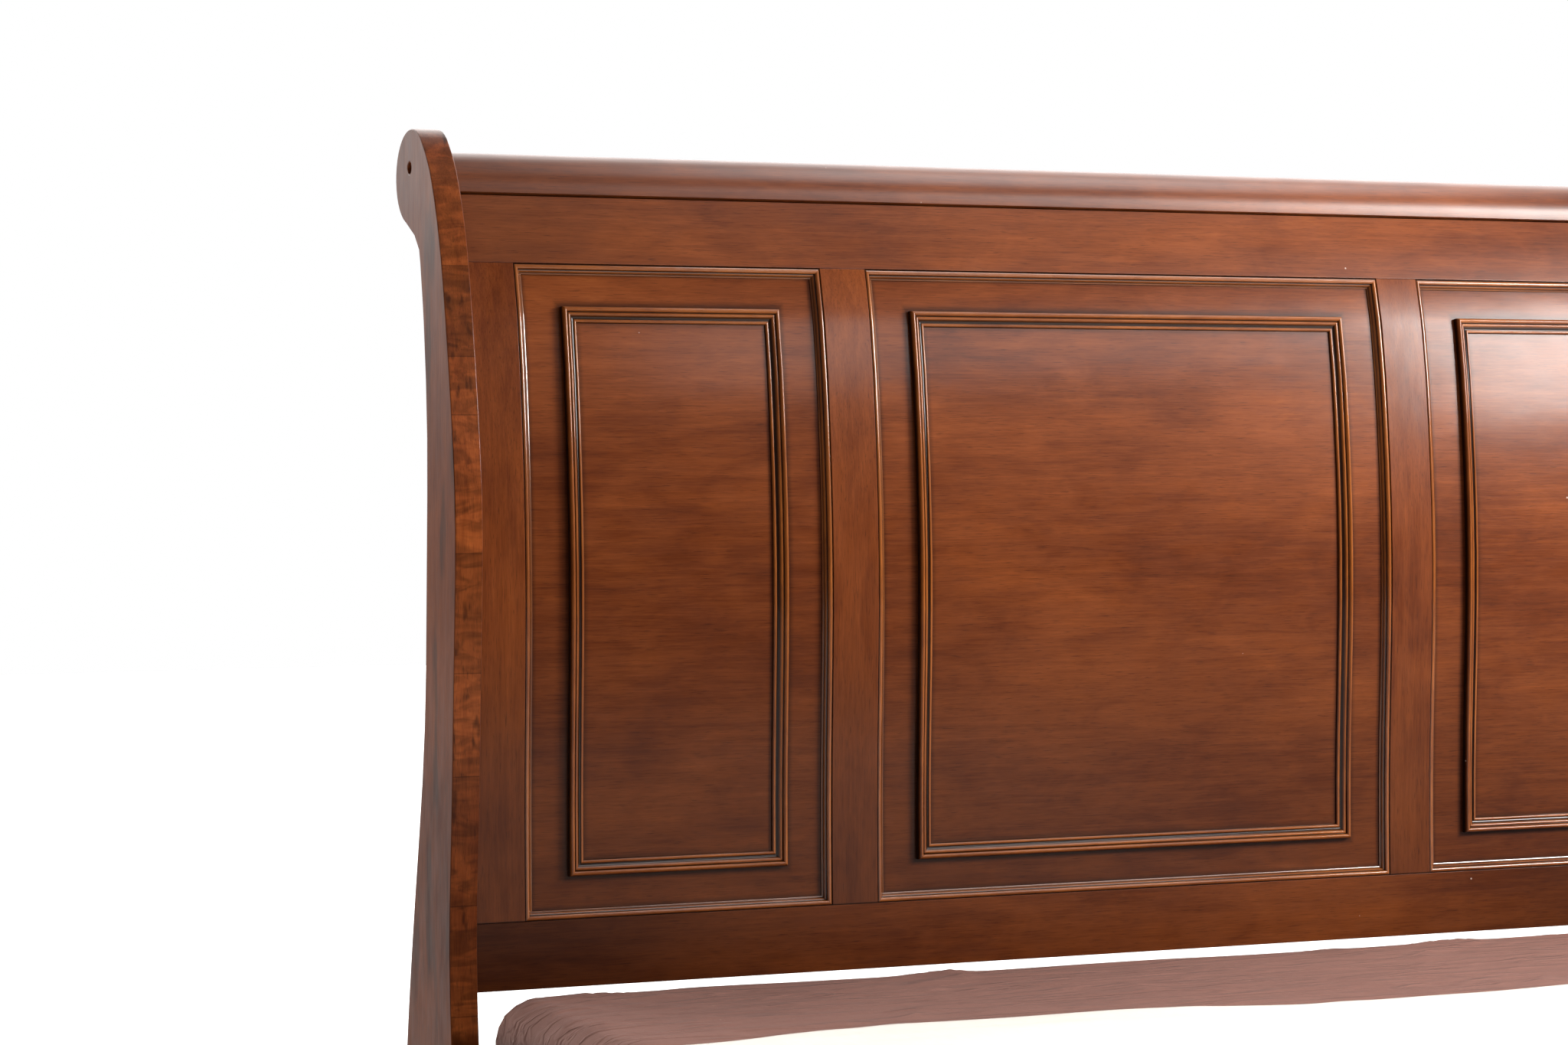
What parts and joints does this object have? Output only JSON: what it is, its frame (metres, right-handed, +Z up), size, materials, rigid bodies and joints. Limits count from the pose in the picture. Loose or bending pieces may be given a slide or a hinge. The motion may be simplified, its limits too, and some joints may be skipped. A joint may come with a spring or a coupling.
{
  "type": "sleigh bed",
  "caption": "Queen sleigh bed: headboard and footboard with moulded panels between S-curved scroll posts, side rails, slat base, mattress, fitted sheet and coverlet.",
  "frame": {"origin": "on the floor, in the middle of the bed's bounding box", "axes": "+Z up, +Y towards the head, +X towards the right of someone standing at the foot"},
  "size_m": [1.599, 2.4169, 1.381],
  "materials": {
    "cherry": "satin-gloss cherry stain with darker glaze",
    "cherry_trim": "satin-gloss cherry stain, dark glaze in the hollows",
    "slat_wood": "bare sanded pine",
    "steel": "dark zinc",
    "black_plastic": "moulded, fine texture",
    "ticking": "woven off-white",
    "brown_sheet": "smooth cotton sateen",
    "cream_cover": "soft woven cotton"
  },
  "bodies": {
    "bed_frame": {"centre_leg": "slat_wood", "cleat_left": "slat_wood", "cleat_right": "slat_wood", "cross_beam": "slat_wood", "footboard_bead_centre": "cherry_trim", "footboard_bead_left": "cherry_trim", "footboard_bead_right": "cherry_trim", "footboard_bolt_left": "steel", "footboard_bolt_right": "steel", "footboard_bottom_rail": "cherry", "footboard_hook_plate_left": "steel", "footboard_hook_plate_right": "steel", "footboard_moulding_centre": "cherry_trim", "footboard_moulding_left": "cherry_trim", "footboard_moulding_right": "cherry_trim", "footboard_mullion_left": "cherry", "footboard_mullion_right": "cherry", "footboard_panel_centre": "cherry", "footboard_panel_left": "cherry", "footboard_panel_right": "cherry", "footboard_post_left": "cherry", "footboard_post_right": "cherry", "footboard_roll": "cherry", "footboard_stile_left": "cherry", "footboard_stile_right": "cherry", "footboard_strike_plate_left": "steel", "footboard_strike_plate_right": "steel", "footboard_top_rail": "cherry", "headboard_bead_centre": "cherry_trim", "headboard_bead_left": "cherry_trim", "headboard_bead_right": "cherry_trim", "headboard_bolt_left": "steel", "headboard_bolt_right": "steel", "headboard_bottom_rail": "cherry", "headboard_hook_plate_left": "steel", "headboard_hook_plate_right": "steel", "headboard_moulding_centre": "cherry_trim", "headboard_moulding_left": "cherry_trim", "headboard_moulding_right": "cherry_trim", "headboard_mullion_left": "cherry", "headboard_mullion_right": "cherry", "headboard_panel_centre": "cherry", "headboard_panel_left": "cherry", "headboard_panel_right": "cherry", "headboard_post_left": "cherry", "headboard_post_right": "cherry", "headboard_roll": "cherry", "headboard_stile_left": "cherry", "headboard_stile_right": "cherry", "headboard_strike_plate_left": "steel", "headboard_strike_plate_right": "steel", "headboard_top_rail": "cherry", "side_rail_left": "cherry", "side_rail_right": "cherry", "slat_roll": "slat_wood"},
    "bedding": {"mattress": "ticking", "fitted_sheet": "brown_sheet", "coverlet": "cream_cover"},
    "levelling_pad": {"levelling_pad": "black_plastic"},
    "levelling_stud": {"levelling_stud": "steel"}
  },
  "joints": [
    {"name": "bedding_lift", "type": "slide", "parent": "bed_frame", "child": "bedding", "axis": [0, 0, 1], "range_m": [0, 0.35]},
    {"name": "foot_screw_out", "type": "slide", "parent": "bed_frame", "child": "levelling_pad", "axis": [0, 0, -1], "range_m": [0, 0.02]},
    {"name": "stud_turn", "type": "hinge", "parent": "levelling_pad", "child": "levelling_stud", "pos_m": [0, -0.0075, 0.0095], "axis": [0, 0, -1], "range_deg": [0, 5761]}
  ],
  "couplings": [
    {"joint": "stud_turn", "follows": "foot_screw_out", "rad_per_m": 5026.5}
  ]
}
